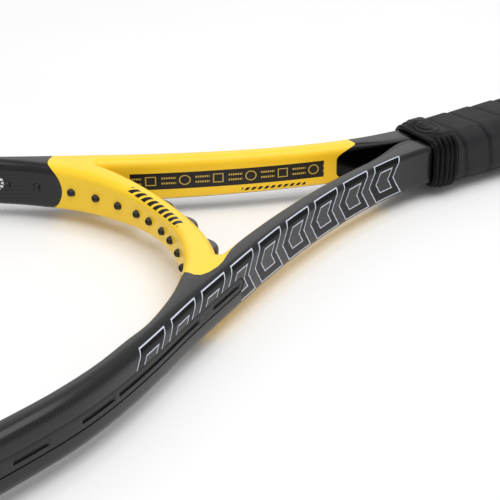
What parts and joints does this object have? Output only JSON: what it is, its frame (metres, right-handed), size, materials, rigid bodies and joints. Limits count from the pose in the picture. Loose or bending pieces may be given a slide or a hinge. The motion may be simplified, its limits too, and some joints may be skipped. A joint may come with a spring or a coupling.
{
  "type": "tennis racket",
  "caption": "Unstrung graphite tennis racket in black and yellow: hollow head and throat, grommet strips, bumper guard, wrapped octagonal handle, rubber collar and butt cap",
  "frame": {"origin": "centre of the flat butt face", "axes": "+X from the butt to the tip of the head, +Y to the left side of the head, +Z normal to the string plane; the racket lies flat"},
  "size_m": [0.6858, 0.2668, 0.0312],
  "materials": {
    "black_paint": "satin black lacquer over carbon laminate",
    "yellow_paint": "glossy warm yellow lacquer",
    "grommet_plastic": "moulded black nylon, satin",
    "pallet_foam": "moulded polyurethane foam, closed skin",
    "butt_cap_plastic": "fine textured black nylon",
    "badge_plastic": "glossy moulded plastic",
    "staple_steel": "bright drawn wire",
    "grip_wrap": "matte black synthetic grip, slightly tacky",
    "tape_film": "satin black adhesive film",
    "collar_rubber": "satin moulded black rubber"
  },
  "bodies": {
    "frame": {"head_hoop": "black_paint", "throat_bridge": "yellow_paint", "left_arm": "black_paint", "right_arm": "black_paint", "bumper_guard": "grommet_plastic", "left_grommet_strip": "grommet_plastic", "right_grommet_strip": "grommet_plastic", "bridge_grommet_strip": "grommet_plastic", "upper_pallet": "pallet_foam", "lower_pallet": "pallet_foam", "butt_cap": "butt_cap_plastic", "butt_cap_badge": "badge_plastic", "butt_cap_staples": "staple_steel", "grip_staple": "staple_steel", "grip_wrap": "grip_wrap", "finishing_tape": "tape_film"},
    "collar": {"grip_collar": "collar_rubber"}
  },
  "joints": [
    {"name": "collar_slide", "type": "slide", "parent": "frame", "child": "collar", "axis": [1, 0, 0], "range_m": [0, 0.006]}
  ]
}
